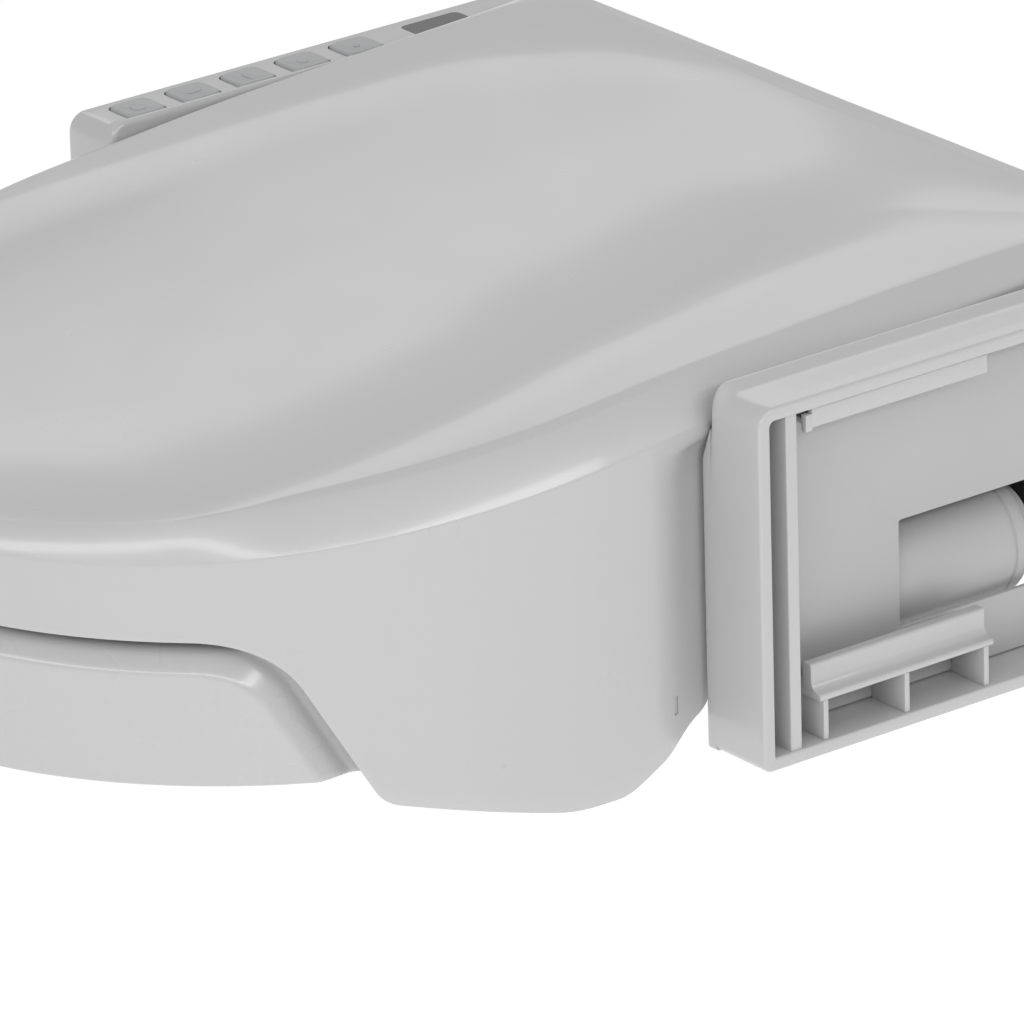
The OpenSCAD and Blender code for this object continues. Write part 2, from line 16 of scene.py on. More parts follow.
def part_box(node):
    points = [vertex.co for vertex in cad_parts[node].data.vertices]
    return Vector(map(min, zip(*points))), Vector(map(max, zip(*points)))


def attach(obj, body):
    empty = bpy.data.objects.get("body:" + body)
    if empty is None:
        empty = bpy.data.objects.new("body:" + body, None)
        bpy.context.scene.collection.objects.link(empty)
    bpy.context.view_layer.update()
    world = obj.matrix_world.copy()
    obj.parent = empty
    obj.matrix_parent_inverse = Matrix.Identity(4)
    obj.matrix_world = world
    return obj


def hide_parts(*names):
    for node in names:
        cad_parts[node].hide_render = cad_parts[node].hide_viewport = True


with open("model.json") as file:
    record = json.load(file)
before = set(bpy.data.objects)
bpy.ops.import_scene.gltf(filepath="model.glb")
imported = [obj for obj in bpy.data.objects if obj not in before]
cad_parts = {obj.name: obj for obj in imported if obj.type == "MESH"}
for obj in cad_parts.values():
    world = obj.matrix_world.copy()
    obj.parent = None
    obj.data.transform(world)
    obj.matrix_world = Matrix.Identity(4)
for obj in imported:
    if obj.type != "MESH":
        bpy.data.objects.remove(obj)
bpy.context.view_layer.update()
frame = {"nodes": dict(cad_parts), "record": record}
nodes = frame["nodes"]
MM = 0.001
SHARP = math.radians(32)


# ---- numbers shared by several pieces ----------------------------------------------------------

def node_box(name):
    """A CAD node's lowest and highest corners, in millimetres."""
    low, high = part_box(name)
    return np.array(low) / MM, np.array(high) / MM


LID_LOW, LID_HIGH = node_box("lid_shell")
WING_LOW, WING_HIGH = node_box("bay_wing_shell")
CONTROL_LOW, CONTROL_HIGH = node_box("control_wing_shell")
HALF_W = LID_HIGH[0]              # half the lid's width
LID_BACK = LID_HIGH[1]
NOSE_START = 210.0                # the nose's ellipse begins this far in front of the origin
NOSE_LEN = -LID_LOW[1] - NOSE_START
CORNER_R = 12.0                   # rear corners of the lid
SKIRT_Z = 68.0                    # lower edge of the lid round the nose
EAR_BACK = -160.0                 # rear edge of the lid's ears, tucked in beside the wings
SIDE_Z = 117.0                    # lower edge of the lid between the wings
REAR_Z = 126.0                    # lower edge of the lid's rear skirt
POST_NOTCH = (116.0, 167.5, 142.0)   # relief in the rear skirt for a post and an arm: from, to, height
LID_WALL = 2.6
EAR_SLOT = ((187.4, -181.4, 4.6), (HALF_W + 3, -178.8, 12.4))     # low and high corners
LINER_DEPTH = 25.5                # the liner's edge below the rolled edge
LINER_RISE = 4.6                  # how much higher its middle is
LINER_WALL = 1.6
LINER_INSET = 9.5                 # the liner's edge inside the lid's outline
SEAT_LOW = 8.0
SEAT_BACK = -92.0
OPENING = (112.0, -222.0, 132.0)  # half width, centre line in Y, length of its curved front
RIM_W = 5.5                       # rim round the mouth of a wing
WING_IN = 193.5                   # inner face of a wing, above its cheek
CHEEK_TOP = (104.0, 120.0)        # height of the cheek at its inner edge and at the wing
WING_R = 8.0                      # top corners of a wing, seen from the side
FOOT_R = 4.0                      # its lower corners
SHOULDER_H = 3.0                  # shoulder along the inner edge of a wing's top
SHOULDER_W = 7.5
WINDOW = ((-79, 17.5), (8, 62))   # the bay panel's window, in Y and Z
SHELF_H = 14.0
RIB_T = 2.5                       # the ribs under the shelf
MIDDLE_RIB_Y = -94.0
WELL_GAP = 0.5                    # clearance round a key in its well
BAY_OPENING = ((150, -81, 4), (WING_IN + 6, 10, 62))   # through the wing, behind the window
TONGUE = (14, 19.5)               # the tongue's two faces, behind the wing's front
RAIL_T = 2.5
CLAW_T = 3.2
LOUVRES = 9                       # on each side of the cover
LOUVRE_PITCH = 7.5
LOUVRE_FIRST = 28.0               # the innermost one's distance from the middle
LOUVRE_HALF_W = 1.4
LOUVRE_Y = (-40, -12)
BEVEL_ANGLE = math.radians(28)    # edges sharper than this are rounded
CLOUD_SCALE = 9.0                 # the moulded surfaces' slow colour change, per metre
SMEAR_SCALE = 26.0                # their uneven gloss
RELIEF_DEPTH = 0.0004             # height of the fine grain, in metres
# Half width and half length of the plain dot or bar on each key
KEY_MARKS = {"stop_button": (3.2, 3.2), "rear_wash_button": (1.3, 4.2), "front_wash_button": (4.2, 1.3),
             "dry_button": (2.2, 2.2), "eco_button": (1.3, 1.3)}


# ---- small maths -------------------------------------------------------------------------------

def smooth(t):
    t = np.clip(t, 0, 1)
    return t * t * (3 - 2 * t)


def soft_min(a, b, k):
    h = np.maximum(k - np.abs(a - b), 0) / k
    return np.minimum(a, b) - h * h * k / 4


def arc(centre, radius, start, end, count=14):
    angles = np.radians(np.linspace(start, end, count + 1))
    return [(centre[0] + radius * math.cos(a), centre[1] + radius * math.sin(a)) for a in angles]


def resample(points, step):
    """Points spaced evenly along a polyline."""
    points = np.array(points, float)
    along = np.r_[0, np.cumsum(np.linalg.norm(np.diff(points, axis=0), axis=1))]
    count = max(2, int(round(along[-1] / step)))
    at = np.linspace(0, along[-1], count + 1)
    return np.stack([np.interp(at, along, points[:, i]) for i in range(points.shape[1])], -1)


def blurred(values, sigma):
    """Values smoothed along their list, its two ends held."""
    reach = int(sigma * 3)
    kernel = np.exp(-0.5 * (np.arange(-reach, reach + 1) / sigma) ** 2)
    kernel /= kernel.sum()
    start = 2 * values[0] - values[1:reach + 1][::-1]
    end = 2 * values[-1] - values[-reach - 1:-1][::-1]
    return np.convolve(np.r_[start, values, end], kernel, "valid")


# ---- mesh helpers ------------------------------------------------------------------------------

def mesh_piece(name, verts, faces, sharp=SHARP, weld=0.01):
    """A new object from points in millimetres, welded, its normals outwards."""
    mesh = bpy.data.meshes.new(name)
    mesh.from_pydata([tuple(float(c) * MM for c in v) for v in verts], [], faces)
    bm = bmesh.new()
    bm.from_mesh(mesh)
    bmesh.ops.remove_doubles(bm, verts=bm.verts, dist=weld * MM)
    bmesh.ops.dissolve_degenerate(bm, edges=bm.edges, dist=weld * MM / 2)
    bmesh.ops.recalc_face_normals(bm, faces=bm.faces)
    bm.to_mesh(mesh)
    bm.free()
    mesh.shade_smooth()
    mesh.set_sharp_from_angle(angle=sharp)
    piece = bpy.data.objects.new(name, mesh)
    bpy.context.scene.collection.objects.link(piece)
    return piece


def grid_faces(rows, columns, wrap=False):
    """Quads of a grid whose points are listed row by row."""
    last = columns if wrap else columns - 1
    return [(r * columns + c, r * columns + (c + 1) % columns,
             (r + 1) * columns + (c + 1) % columns, (r + 1) * columns + c)
            for r in range(rows - 1) for c in range(last)]


def bake_modifiers(piece, sharp=SHARP):
    """Turns the piece's modifiers into its mesh."""
    bpy.context.view_layer.update()
    made = bpy.data.meshes.new_from_object(
        piece.evaluated_get(bpy.context.evaluated_depsgraph_get()))
    piece.modifiers.clear()
    piece.data = made
    made.shade_smooth()
    made.set_sharp_from_angle(angle=sharp)
    return piece


def bevel(piece, width, segments=3):
    mod = piece.modifiers.new("bevel", "BEVEL")
    mod.width = width * MM
    mod.segments = segments
    mod.limit_method = "ANGLE"
    mod.angle_limit = BEVEL_ANGLE
    mod.harden_normals = False
    return bake_modifiers(piece)


def cut(piece, *cutters):
    """Cuts the cutters out of the piece and removes them."""
    for cutter in cutters:
        mod = piece.modifiers.new("cut", "BOOLEAN")
        mod.operation = "DIFFERENCE"
        mod.solver = "EXACT"
        mod.object = cutter
    bake_modifiers(piece)
    for cutter in cutters:
        bpy.data.objects.remove(cutter)
    return piece


def block(name, low, high):
    corners = [(x, y, z) for x in (low[0], high[0]) for y in (low[1], high[1])
               for z in (low[2], high[2])]
    faces = [(0, 1, 3, 2), (4, 6, 7, 5), (0, 4, 5, 1), (2, 3, 7, 6), (0, 2, 6, 4), (1, 5, 7, 3)]
    return mesh_piece(name, corners, faces)


def extrusion(name, outline, axis, start, end):
    """A closed outline drawn out along an axis: the outline's two coordinates are the others."""
    def place(u, v, w):
        return {"x": (w, u, v), "y": (u, w, v), "z": (u, v, w)}[axis]
    count = len(outline)
    verts = [place(u, v, start) for u, v in outline] + [place(u, v, end) for u, v in outline]
    faces = grid_faces(2, count, wrap=True)
    faces += [tuple(range(count)), tuple(range(count, 2 * count))]
    return mesh_piece(name, verts, faces)


def join(name, *parts):
    """One piece out of several."""
    bm = bmesh.new()
    for part in parts:
        bm.from_mesh(part.data)
        bpy.data.objects.remove(part)
    mesh = bpy.data.meshes.new(name)
    bm.to_mesh(mesh)
    bm.free()
    mesh.set_sharp_from_angle(angle=SHARP)
    piece = bpy.data.objects.new(name, mesh)
    bpy.context.scene.collection.objects.link(piece)
    return piece


def lathe(name, profile, place, turns=72):
    """A profile of (radius, along) points turned about an axis; place() puts a point in the frame."""
    verts = [place(r * math.cos(a), r * math.sin(a), t) for r, t in profile
             for a in (2 * math.pi * i / turns for i in range(turns))]
    return mesh_piece(name, verts, grid_faces(len(profile), turns, wrap=True))


def softened(node, width, segments=2):
    """The CAD node's own shape with its edges rounded, as a new piece that stands for the node."""
    mesh = nodes[node].data.copy()
    bm = bmesh.new()
    bm.from_mesh(mesh)
    bmesh.ops.remove_doubles(bm, verts=bm.verts, dist=0.002 * MM)
    bmesh.ops.dissolve_limit(bm, angle_limit=math.radians(1), verts=bm.verts, edges=bm.edges)
    bm.to_mesh(mesh)
    bm.free()
    mesh.materials.clear()
    piece = bpy.data.objects.new(node + "_finished", mesh)
    bpy.context.scene.collection.objects.link(piece)
    return bevel(piece, width, segments)


def finish_piece(piece, body, material, slot, *stands_for):
    piece.data.materials.clear()
    piece.data.materials.append(material)
    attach(piece, body)
    if stands_for:
        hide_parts(*stands_for)
    return piece


# ---- lid ---------------------------------------------------------------------------------------

def lid_outline(step=1.0):
    """Half the lid's outline, from the middle of the nose round to the middle of the rear edge."""
    phi = np.linspace(0, math.pi / 2, 200)
    nose = np.stack([HALF_W * np.sin(phi), -NOSE_START - NOSE_LEN * np.cos(phi)], -1)
    corner = arc((HALF_W - CORNER_R, LID_BACK - CORNER_R), CORNER_R, 0, 90)
    return resample(list(map(tuple, nose)) + corner + [(0, LID_BACK)], step)


OUTLINE = lid_outline()
ALONG = np.r_[0, np.cumsum(np.linalg.norm(np.diff(OUTLINE, axis=0), axis=1))]
SIDE_START = np.interp(-NOSE_START, OUTLINE[:600, 1], ALONG[:600])
REAR_START = ALONG[-1] - (HALF_W - CORNER_R)


def outline_at(s):
    return np.stack([np.interp(s, ALONG, OUTLINE[:, 0]), np.interp(s, ALONG, OUTLINE[:, 1])], -1)


def outward_at(s):
    ahead = outline_at(np.minimum(s + 1.5, ALONG[-1]))
    behind = outline_at(np.maximum(s - 1.5, 0))
    tangent = ahead - behind
    tangent /= np.linalg.norm(tangent, axis=1)[:, None]
    out = np.stack([tangent[:, 1], -tangent[:, 0]], -1)
    out[s <= 0] = (0, -1)
    out[s >= ALONG[-1]] = (0, 1)
    return out


def along_of_y(y):
    """Distance along the outline at which its side reaches y."""
    side = ALONG <= REAR_START - CORNER_R * math.pi / 2 + 0.5
    return np.interp(y, OUTLINE[side, 1], ALONG[side])


def ear_front(gap):
    """Front and lower edge of an ear, in Y and Z, brought out by a gap."""
    return (arc((-367, 30), 38 - gap, 90, 25)
            + arc((-298, 10), 14 + gap, 205, 250)
            + arc((-222, 58), 79 + gap, 257, 270)
            + arc((-212, 5), 26 + gap, 270, 298)
            + arc((EAR_BACK - 12, 10.4), 12 + gap, 298, 360))


def inset_of(x, y):
    """How far a point stands in from the lid's outline, measured as the outline shrinks."""
    x = np.abs(x)
    low = np.zeros_like(x)
    high = np.full_like(x, HALF_W - 0.01)
    for _ in range(32):
        middle = (low + high) / 2
        outside = (x / (HALF_W - middle)) ** 2 + ((y + NOSE_START) / (NOSE_LEN - middle)) ** 2 > 1
        high = np.where(outside, middle, high)
        low = np.where(outside, low, middle)
    side = np.where(y < -NOSE_START, low, HALF_W - x)
    rear = LID_BACK - y
    return np.maximum(soft_min(side, rear, 14 + 1.5 * np.maximum(np.minimum(side, rear), 0)), 0)


def outline_y(x, y, inset):
    """The outline's own y nearest to a point: on the nose the ellipses share their angle."""
    across = np.abs(x) / np.maximum(HALF_W - inset, 1e-3)
    ahead = -(y + NOSE_START) / np.maximum(NOSE_LEN - inset, 1e-3)
    nose = -NOSE_START - NOSE_LEN * np.cos(np.arctan2(across, np.maximum(ahead, 0)))
    return np.where(y < -NOSE_START, nose, y)


def edge_z(v):
    """Height of the rolled edge at an outline point."""
    s = v + 385
    return 96 + 0.058 * (s + np.sqrt(s * s + 1600)) - 1.2 * smooth(v / 64)


def band_width(v):
    return 8 + 6 * smooth((v + 372) / 40)


def flank_z(y, inset, band):
    """The shoulder between the band's crease and the ridge, which climbs gently inwards."""
    t = -2 - y
    return 148.5 - 0.0302 * t - 0.000163 * t * t + 0.075 * (inset - band)


def hollow_z(x, y):
    """The hollow, a wide cylinder whose floor falls towards the nose."""
    ys = [-425, -392, -350, -300, -255, -176, -90, -20, 25, 64]
    zs = [107.5, 104.6, 105.2, 110.6, 116.4, 127.2, 135.6, 141.2, 147.2, 151.2]
    fine = np.linspace(-425, 64, 490)
    floor = np.interp(y, fine, blurred(np.interp(fine, ys, zs), 14))
    return floor + x * x / 1420


def top_z(x, y):
    """Height of the lid's top surface at a point of its plan."""
    inset = inset_of(x, y)
    v = outline_y(x, y, inset)
    band = band_width(v)
    shoulder = soft_min(flank_z(y, inset, band), hollow_z(x, y), 5.0)
    drawn = smooth((v + 362) / 50) * (1 - 0.75 * smooth((v + 190) / 70))
    groove = 0.75 * drawn * np.exp(-((inset - band) / 1.3) ** 2)
    q = np.clip(inset / band, 0, 1)
    climb = 0.5 * q + 0.5 * (1 - (1 - q) ** 2)
    z = edge_z(v) + (shoulder - edge_z(v)) * climb - groove
    return np.minimum(z, LID_HIGH[2] - 0.1)


def lid_columns():
    """Foot of each column of the skirt, as distance along the outline against height: round the
    nose and the ear to the ear's rear end, and on from there to the middle of the rear edge."""
    ear = [(0, SKIRT_Z)] + [(along_of_y(y), z) for y, z in ear_front(0)]
    front = resample(ear, 2.4)
    back = front[-1, 0]
    turn = [(back + 6 - 6 * math.cos(a), SIDE_Z - 6 + 6 * math.sin(a))
            for a in np.radians((14, 28, 42, 56, 73, 90))]
    rear = resample([(back + 6, SIDE_Z), (along_of_y(44), SIDE_Z), (REAR_START - 10, REAR_Z),
                     (ALONG[-1], REAR_Z)], 3.2)
    return front, np.vstack([turn, rear[1:]])


def ear_curl(s, z):
    """How far the skirt draws in at an ear's rear end, under the rolled edge."""
    y = outline_at(s)[:, 1]
    inwards = 6.5 * smooth((y + 190) / 24) * (1 - 0.7 * smooth((y + 155) / 40))
    inwards = np.where(s < REAR_START - 30, inwards, 0)
    return inwards * smooth((edge_z(y) - 3 - z) / 12)


def lid_surface():
    """Half the lid as two grids: the skirt's lower part, and all above it up over the roll and in
    to the spine."""
    front, behind = lid_columns()
    ear_columns = len(front)
    s = np.r_[front[:, 0], behind[:, 0]]
    low = np.r_[front[:, 1], behind[:, 1]]
    count = len(s)
    edge = outline_at(s)
    out = outward_at(s)
    v = edge[:, 1]
    roll_r = 2.6 + 2.4 * smooth((v + 205) / 60)
    band = band_width(v)
    probe = edge - out * band[:, None]
    rise = np.maximum(top_z(probe[:, 0], probe[:, 1]) - edge_z(v), 0.4)
    turn = np.arctan(band / (1.5 * rise))
    spine_y = np.interp(s, [0, SIDE_START, REAR_START - 20, ALONG[-1]], [-300, -262, -70, -40])
    spine = np.stack([np.zeros(count), spine_y], -1)

    share = np.linspace(0, 1, 260)
    line = edge[None] + (spine - edge)[None] * share[:, None, None]
    insets = inset_of(line[..., 0], line[..., 1])

    first = roll_r * (1 - np.cos(turn))
    first_at = edge - out * first[:, None]
    z_wall = top_z(first_at[:, 0], first_at[:, 1]) - roll_r * np.sin(turn)
    divide = np.minimum(SIDE_Z - 6, z_wall - 7)
    divide[ear_columns:] = low[ear_columns:]

    def skirt(start, end, steps):
        levels = []
        for t in np.linspace(0, 1, steps):
            z = start + (end - start) * t
            levels.append(np.c_[edge - out * ear_curl(s, z)[:, None], z])
        return levels

    lower = np.array(skirt(low, divide, 16))[:, :ear_columns]
    rows = skirt(divide, z_wall, 6)
    for i in range(1, 5):
        a = turn * i / 5
        p = edge - out * (roll_r * (1 - np.cos(a)))[:, None]
        rows.append(np.c_[p, z_wall + roll_r * np.sin(a)])

    targets = [first + (band - 3 - first) * t for t in np.linspace(0, 1, 6)]
    targets += [band + d for d in (-2.2, -1.4, -0.7, 0, 0.7, 1.4, 2.2, 3.4)]
    targets += [band + 3.4 + (62 - 3.4) * t for t in np.linspace(0.07, 1, 22)]
    for inset in targets:
        inset = np.minimum(inset, insets[-1] - 2)
        q_last = np.array([np.interp(inset[k], insets[:, k], share) for k in range(count)])
        p = edge + (spine - edge) * q_last[:, None]
        rows.append(np.c_[p, top_z(p[:, 0], p[:, 1])])
    for t in np.linspace(0, 1, 19)[1:]:
        q = q_last + (1 - q_last) * t
        p = edge + (spine - edge) * q[:, None]
        rows.append(np.c_[p, top_z(p[:, 0], p[:, 1])])
    rows = np.array(rows)
    for grid in (lower, rows):
        grid[:, 0, 0] = 0
    rows[:, -1, 0] = 0
    return lower, rows


def mirrored(rows):
    """Points and faces of a half grid and of its mirror image in X = 0."""
    height, width = rows.shape[:2]
    half = rows.reshape(-1, 3)
    other = half * (-1, 1, 1)
    faces = grid_faces(height, width)
    back = [tuple(height * width + i for i in reversed(f)) for f in faces]
    return np.vstack([half, other]), faces + back


def make_lid():
    lower, upper = lid_surface()
    verts, faces = mirrored(upper)
    more_verts, more_faces = mirrored(lower)
    faces += [tuple(i + len(verts) for i in f) for f in more_faces]
    lid = mesh_piece("lid", np.vstack([verts, more_verts]), faces, weld=0.02)
    if max(lid.data.polygons, key=lambda f: f.center.z).normal.z < 0:
        lid.data.flip_normals()
    wall = lid.modifiers.new("wall", "SOLIDIFY")
    wall.thickness = LID_WALL * MM
    wall.offset = -1
    bake_modifiers(lid)
    inner, outer, top = POST_NOTCH
    cutters = [block("slot_cut", *EAR_SLOT)]
    for x in (-outer, inner):
        cutters.append(block("relief_cut", (x, 50, 100), (x + outer - inner, 80, top)))
    return cut(lid, *cutters)


# ---- seat --------------------------------------------------------------------------------------

def seat_top(y):
    return 63.5 + 40 * smooth((y + 330) / 200)


def distance_to(points, y, z):
    """Distance from each (y, z) to a polyline."""
    p = np.array(points, float)
    a, b = p[:-1], p[1:]
    d = b - a
    best = np.full(np.shape(y), 1e9)
    for i in range(len(a)):
        t = np.clip(((y - a[i, 0]) * d[i, 0] + (z - a[i, 1]) * d[i, 1]) / (d[i] @ d[i]), 0, 1)
        best = np.minimum(best, np.hypot(y - a[i, 0] - t * d[i, 0], z - a[i, 1] - t * d[i, 1]))
    return best


def seat_inset(y, z):
    """Inset of the ring's flank: full below the ear's curve, drawn in along it and under the ear."""
    curve = [(-520, SKIRT_Z)] + [p for p in ear_front(0) if p[0] < -303] + [(-302, -60)]
    gap = distance_to(curve, y, z)
    line = np.array(curve)
    in_front = np.interp(z, line[::-1, 1], line[::-1, 0]) > y
    reach = np.where(in_front & (z < SKIRT_Z), gap, 0)
    t = np.clip((15.0 - reach) / 11.0, 0, 1)
    eased = np.where(t < 0.18, t * t / 0.36, t - 0.09)
    eased = np.minimum(eased, 0.91) / 0.91
    return 2.0 + 7.5 * eased


def opening_point(t):
    """Half the ring's opening: t runs 0..1 round the curved front and 1..2 back along the side."""
    half_w, centre, length = OPENING
    front = np.stack([half_w * np.sin(t * math.pi / 2), centre - length * np.cos(t * math.pi / 2)], -1)
    side = np.stack([np.full_like(t, half_w), centre + (SEAT_BACK - centre) * (t - 1)], -1)
    return np.where((t < 1)[:, None], front, side)


def make_seat():
    end = along_of_y(SEAT_BACK)
    s = np.r_[np.arange(0, 150, 3.5), np.arange(150, 262, 1.5), np.arange(262, end, 3.5), end]
    base = outline_at(s)
    out = outward_at(s)
    phi = np.arctan2(base[:, 0] / HALF_W, -(base[:, 1] + NOSE_START) / NOSE_LEN) / (math.pi / 2)
    t = np.where(base[:, 1] < -NOSE_START, phi,
                 1 + (base[:, 1] + NOSE_START) / (SEAT_BACK + NOSE_START))
    inner = opening_point(t)
    y = base[:, 1]
    crest = seat_top(y)

    def outer(z, extra=0.0):
        inset = seat_inset(y, z) + extra
        return np.c_[base - out * inset[:, None], z]

    low_r = 1.6
    rows = [outer(SEAT_LOW + low_r * (1 - np.cos(a)) + 0 * y, low_r * (1 - math.sin(a)))
            for a in np.radians((0, 30, 60, 90))]
    top_r = 3.0
    for t_up in np.linspace(0, 1, 46)[1:]:
        rows.append(outer(SEAT_LOW + low_r + (crest - top_r - SEAT_LOW - low_r) * t_up))
    for a in np.radians((22, 45, 68, 90)):
        rows.append(outer(crest - top_r + top_r * math.sin(a), top_r * (1 - math.cos(a))))
    shoulder = rows[-1][:, :2]
    lip_r = 7.0
    toward = inner - shoulder
    width = np.linalg.norm(toward, axis=1)
    toward /= width[:, None]
    drop = 0.8
    flat = width - lip_r
    for u in np.linspace(0, 1, 16)[1:]:
        p = shoulder + toward * (flat * u)[:, None]
        rows.append(np.c_[p, seat_top(y + p[:, 1] - shoulder[:, 1]) - drop * u ** 2.2])
    lip = rows[-1][:, 2]
    for a in np.radians((15, 30, 45, 60, 75, 90)):
        p = shoulder + toward * (flat + lip_r * math.sin(a))[:, None]
        rows.append(np.c_[p, lip - lip_r * (1 - math.cos(a))])
    for u in np.linspace(0, 1, 10)[1:]:
        z = lip - lip_r + (SEAT_LOW + 2 - lip + lip_r) * u
        rows.append(np.c_[inner - toward * (3.0 * u), z])
    for u in (0.35, 0.7, 1.0):
        rows.append(np.c_[inner - toward * (3.0 + 2.0 * u), np.full_like(y, SEAT_LOW + 2 - 2 * u)])
    under_in = rows[-1][:, :2]
    under_out = rows[0][:, :2]
    for u, z in ((0.12, 0), (0.13, 1.2), (0.16, 1.2), (0.17, 0), (0.5, 0), (0.83, 0), (0.84, 1.2),
                 (0.87, 1.2), (0.88, 0)):
        rows.append(np.c_[under_in + (under_out - under_in) * u, np.full_like(y, SEAT_LOW + z)])
    rows = np.array(rows)
    rows[:, 0, 0] = 0
    height, count = rows.shape[:2]
    faces = []
    verts = np.vstack([rows.reshape(-1, 3), (rows * (-1, 1, 1)).reshape(-1, 3)])
    for side in (0, 1):
        off = side * height * count
        for r in range(height):
            for c in range(count - 1):
                a, b = off + r * count + c, off + ((r + 1) % height) * count + c
                face = (a, a + 1, b + 1, b)
                faces.append(face if side == 0 else face[::-1])
        faces.append(tuple(off + r * count + count - 1 for r in range(height)))
    return mesh_piece("seat_ring", verts, faces)


# ---- wings and bay -----------------------------------------------------------------------------

def rounded_loop(y0, y1, z0, z1, foot, top):
    """A rounded oblong in Y and Z, always with the same number of points."""
    corners = [((y0 + foot, z0 + foot), foot, 180), ((y1 - foot, z0 + foot), foot, 270),
               ((y1 - top, z1 - top), top, 0), ((y0 + top, z1 - top), top, 90)]
    loop = []
    for i, (centre, radius, start) in enumerate(corners):
        curve = arc(centre, radius, start, start + 90, 8)
        following = corners[(i + 1) % 4]
        ahead = math.radians(following[2])
        target = (following[0][0] + following[1] * math.cos(ahead),
                  following[0][1] + following[1] * math.sin(ahead))
        loop += curve
        loop += [tuple(np.array(curve[-1]) * (1 - t) + np.array(target) * t)
                 for t in np.linspace(0, 1, 12)[1:-1]]
    return np.array(loop)


def wing_loop(inset):
    """A wing's outline in Y and Z, brought in by an inset."""
    top = max(WING_R - inset, 2.2 if inset > 4 else 0.6)
    return rounded_loop(WING_LOW[1] + inset, WING_HIGH[1] - inset, WING_LOW[2] + inset,
                        WING_HIGH[2] - inset, max(FOOT_R - inset, 0.8), top)


def cheek_loop(inset, x):
    """Outline of the cheek that carries a wing's front face in under the lid's edge."""
    top = CHEEK_TOP[0] + (CHEEK_TOP[1] - CHEEK_TOP[0]) * (x - WING_LOW[0]) / (WING_IN - WING_LOW[0])
    return rounded_loop(WING_LOW[1] + 0.06 + inset, WING_LOW[1] + 7 - inset / 2, WING_LOW[2] + 0.4 + inset,
                        top - inset, 1.2, 0.8)


def shoulder_rise(x, z):
    """The low shoulder along the inner edge of a wing's top, beside the lid."""
    if z < WING_HIGH[2] - WING_R:
        return 0.0
    on_top = float(smooth(np.array((z - WING_HIGH[2] + WING_R) / WING_R)))
    across = x - WING_IN
    return SHOULDER_H * on_top * float(1 - smooth(np.array((across - 1.0) / SHOULDER_W)))


def wing_ring(inset, x):
    """One ring of a wing; its inner roll dies away above the cheek and along the foot."""
    loop = wing_loop(inset)
    if inset < 4:
        y, z = loop.T
        front = (1 - smooth((z - 112) / 10)) * (1 - smooth((y + 161) / 8))
        flush = np.maximum(front, 1 - smooth((z + 9) / 6)) * (x < WING_IN + 4)
        loop = loop + (wing_loop(0) - loop) * flush[:, None]
    return [(x, y, z + shoulder_rise(x, z) * (inset < 4)) for y, z in loop]


def wing_skin(name, levels):
    """A wing from rings of (inset, X), closed at both ends, on the +X side."""
    x = WING_LOW[0]
    roll = 2.0
    verts = []
    for a in np.radians((0, 22, 45, 68, 90)):
        at = x + roll * (1 - math.cos(a))
        verts += [(at, y, z) for y, z in cheek_loop(roll * (1 - math.sin(a)), at)]
    verts += [(WING_IN, y, z) for y, z in cheek_loop(0, WING_IN)]
    for inset, at in levels:
        verts += wing_ring(inset, at)
    count = len(wing_loop(0))
    rings = len(verts) // count
    faces = grid_faces(rings, count, wrap=True)
    faces += [tuple(range(count)), tuple(range((rings - 1) * count, rings * count))]
    return mesh_piece(name, verts, faces)


def inner_levels():
    x = WING_IN
    roll = 2.6
    curve = [(roll * (1 - math.sin(a)), x + roll * (1 - math.cos(a)))
             for a in np.radians((0, 18, 36, 54, 72, 90))]
    return curve + [(0, x + d) for d in (4, 5.5, 7, 8.5, 10, 15, 22)]


def make_bay_wing():
    x = WING_HIGH[0]
    levels = inner_levels() + [
        (0, x - 1.3), (0.1, x - 0.8), (0.38, x - 0.38), (0.8, x - 0.1), (1.3, x),
        (RIM_W - 0.8, x), (RIM_W - 0.4, x - 0.12), (RIM_W - 0.12, x - 0.4), (RIM_W, x - 0.8),
        (RIM_W, x - 14), (RIM_W, WING_IN + 3.3), (RIM_W + 0.8, WING_IN + 2.5)]
    wing = wing_skin("bay_wing", levels)
    cut(wing, block("opening_cut", *BAY_OPENING))
    front = WING_LOW[1]
    tongue = block("tongue", (WING_IN + 2, front + TONGUE[0], WING_LOW[2] + 3),
                   (x - 1.1, front + TONGUE[1], WING_HIGH[2] - 3))
    bevel(tongue, 0.7, 3)
    return join("bay_wing", wing, tongue)


def make_control_wing():
    """The other wing, mirrored, with its closed cover; place_pieces() cuts the wells in it."""
    x = WING_HIGH[0]
    levels = inner_levels() + [
        (0, x - 1.6), (0.15, x - 0.9), (0.5, x - 0.45), (0.95, x - 0.13), (1.6, x),
        (RIM_W - 0.7, x), (RIM_W - 0.35, x - 0.15), (RIM_W - 0.2, x - 0.9), (RIM_W + 0.2, x - 0.9),
        (RIM_W + 0.35, x - 0.15), (RIM_W + 0.7, x), (RIM_W + 14, x)]
    wing = wing_skin("control_wing", levels)
    for v in wing.data.vertices:
        v.co.x = -v.co.x
    wing.data.flip_normals()
    return wing


def superellipse(half_w, half_l, power=5.0, count=56):
    points = []
    for i in range(count):
        a = 2 * math.pi * i / count
        c, s = math.cos(a), math.sin(a)
        points.append((half_w * math.copysign(abs(c) ** (2 / power), c),
                       half_l * math.copysign(abs(s) ** (2 / power), s)))
    return points


